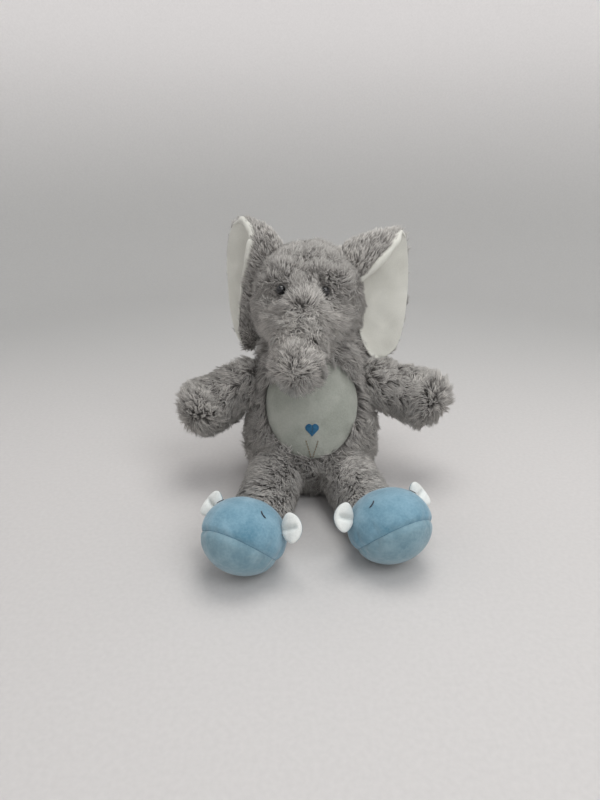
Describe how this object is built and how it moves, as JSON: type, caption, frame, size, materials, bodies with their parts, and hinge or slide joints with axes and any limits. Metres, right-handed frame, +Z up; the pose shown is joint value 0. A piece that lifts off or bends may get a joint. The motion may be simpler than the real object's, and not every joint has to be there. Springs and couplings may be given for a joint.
{
  "type": "stuffed elephant",
  "caption": "Seated soft toy elephant in shaggy grey plush with a cream belly, embroidered heart, large ears, short trunk and padded blue slippers",
  "frame": {"origin": "centre of the flat patch that the toy sits on, at floor level", "axes": "+Z up; the toy faces -Y; its own left side is +X"},
  "size_m": [0.2475, 0.2752, 0.2467],
  "materials": {
    "grey_plush": "matte",
    "cream_plush": "matte",
    "heart_thread": "satin",
    "tan_thread": "satin",
    "tape": "matte",
    "stuffing": "matte",
    "bag_cloth": "matte",
    "pellet_plastic": "matte",
    "eye_black": "gloss",
    "washer": "matte",
    "slipper_blue": "matte",
    "slipper_sole": "matte",
    "slipper_white": "matte",
    "dark_thread": "satin"
  },
  "bodies": {
    "torso": {"torso_cover": "grey_plush", "belly_panel": "cream_plush", "heart_embroidery": "heart_thread", "belly_string_stitches": "tan_thread", "torso_stuffing": "stuffing", "pellet_bag": "bag_cloth", "pellets": "pellet_plastic"},
    "neck_tape": {"neck_tape": "tape"},
    "head": {"head_cover": "grey_plush", "head_stuffing": "stuffing", "eye_left": "eye_black", "eye_right": "eye_black", "eye_washer_left": "washer", "eye_washer_right": "washer"},
    "trunk": {"trunk_cover": "grey_plush", "trunk_stuffing": "stuffing"},
    "ear_left": {"ear_left_back": "grey_plush", "ear_left_front": "cream_plush"},
    "ear_right": {"ear_right_back": "grey_plush", "ear_right_front": "cream_plush"},
    "arm_left": {"arm_left_cover": "grey_plush", "arm_left_stuffing": "stuffing"},
    "arm_right": {"arm_right_cover": "grey_plush", "arm_right_stuffing": "stuffing"},
    "leg_left": {"leg_left_cover": "grey_plush", "leg_left_stuffing": "stuffing", "slipper_left_upper": "slipper_blue", "slipper_left_sole": "slipper_sole", "slipper_left_stuffing": "stuffing", "slipper_left_eyes": "dark_thread"},
    "slipper_left_ear_outer": {"slipper_left_ear_outer_back": "slipper_blue", "slipper_left_ear_outer_front": "slipper_white"},
    "slipper_left_ear_inner": {"slipper_left_ear_inner_back": "slipper_blue", "slipper_left_ear_inner_front": "slipper_white"},
    "leg_right": {"leg_right_cover": "grey_plush", "leg_right_stuffing": "stuffing", "slipper_right_upper": "slipper_blue", "slipper_right_sole": "slipper_sole", "slipper_right_stuffing": "stuffing", "slipper_right_eyes": "dark_thread"},
    "slipper_right_ear_outer": {"slipper_right_ear_outer_back": "slipper_blue", "slipper_right_ear_outer_front": "slipper_white"},
    "slipper_right_ear_inner": {"slipper_right_ear_inner_back": "slipper_blue", "slipper_right_ear_inner_front": "slipper_white"},
    "tail": {"tail_cover": "grey_plush", "tail_stuffing": "stuffing"}
  },
  "joints": [
    {"name": "neck_turn", "type": "hinge", "parent": "torso", "child": "neck_tape", "pos_m": [-0.003, 0.008, 0.183], "axis": [0, 0, 1], "range_deg": [-30, 30], "stiffness_Nm_per_rad": 1.2},
    {"name": "neck_nod", "type": "hinge", "parent": "neck_tape", "child": "head", "pos_m": [-0.003, 0.008, 0.183], "axis": [0.9903, -0.1392, 0], "range_deg": [-12, 7], "stiffness_Nm_per_rad": 1.2},
    {"name": "trunk_lift", "type": "hinge", "parent": "head", "child": "trunk", "pos_m": [-0.01202, -0.05618, 0.16063], "axis": [-0.9903, 0.1392, 0], "range_deg": [-10, 22], "stiffness_Nm_per_rad": 0.25},
    {"name": "ear_left_fold", "type": "hinge", "parent": "head", "child": "ear_left", "pos_m": [0.04364, 0.01373, 0.182], "axis": [0, 0, -1], "range_deg": [-15, 20], "stiffness_Nm_per_rad": 0.12},
    {"name": "arm_left_raise", "type": "hinge", "parent": "torso", "child": "arm_left", "pos_m": [0.06234, 0.00061, 0.09942], "axis": [0, -1, 0], "range_deg": [-4, 35], "stiffness_Nm_per_rad": 0.4},
    {"name": "leg_left_splay", "type": "hinge", "parent": "torso", "child": "leg_left", "pos_m": [0.034, -0.05146, 0.0245], "axis": [0, 0, 1], "range_deg": [-1, 25], "stiffness_Nm_per_rad": 0.8},
    {"name": "slipper_left_ear_outer_fold", "type": "hinge", "parent": "leg_left", "child": "slipper_left_ear_outer", "pos_m": [0.0846, -0.12437, 0.04327], "axis": [0.6261, -0.2522, -0.7378], "range_deg": [-20, 20], "stiffness_Nm_per_rad": 0.02},
    {"name": "slipper_left_ear_inner_fold", "type": "hinge", "parent": "leg_left", "child": "slipper_left_ear_inner", "pos_m": [0.03026, -0.15326, 0.04327], "axis": [0.141, 0.6601, 0.7378], "range_deg": [-20, 20], "stiffness_Nm_per_rad": 0.02},
    {"name": "ear_right_fold", "type": "hinge", "parent": "head", "child": "ear_right", "pos_m": [-0.04625, 0.02636, 0.182], "axis": [0, 0, 1], "range_deg": [-15, 20], "stiffness_Nm_per_rad": 0.12},
    {"name": "arm_right_raise", "type": "hinge", "parent": "torso", "child": "arm_right", "pos_m": [-0.06234, 0.00061, 0.09942], "axis": [0, 1, 0], "range_deg": [-4, 35], "stiffness_Nm_per_rad": 0.4},
    {"name": "leg_right_splay", "type": "hinge", "parent": "torso", "child": "leg_right", "pos_m": [-0.034, -0.05146, 0.0245], "axis": [0, 0, -1], "range_deg": [-1, 25], "stiffness_Nm_per_rad": 0.8},
    {"name": "slipper_right_ear_outer_fold", "type": "hinge", "parent": "leg_right", "child": "slipper_right_ear_outer", "pos_m": [-0.07862, -0.1388, 0.04327], "axis": [0.6261, 0.2522, 0.7378], "range_deg": [-20, 20], "stiffness_Nm_per_rad": 0.02},
    {"name": "slipper_right_ear_inner_fold", "type": "hinge", "parent": "leg_right", "child": "slipper_right_ear_inner", "pos_m": [-0.02428, -0.16769, 0.04327], "axis": [0.141, -0.6601, -0.7378], "range_deg": [-20, 20], "stiffness_Nm_per_rad": 0.02},
    {"name": "tail_swing", "type": "hinge", "parent": "torso", "child": "tail", "pos_m": [0, 0.05787, 0.02807], "axis": [0, 0, 1], "range_deg": [-12, 12], "stiffness_Nm_per_rad": 0.03}
  ]
}
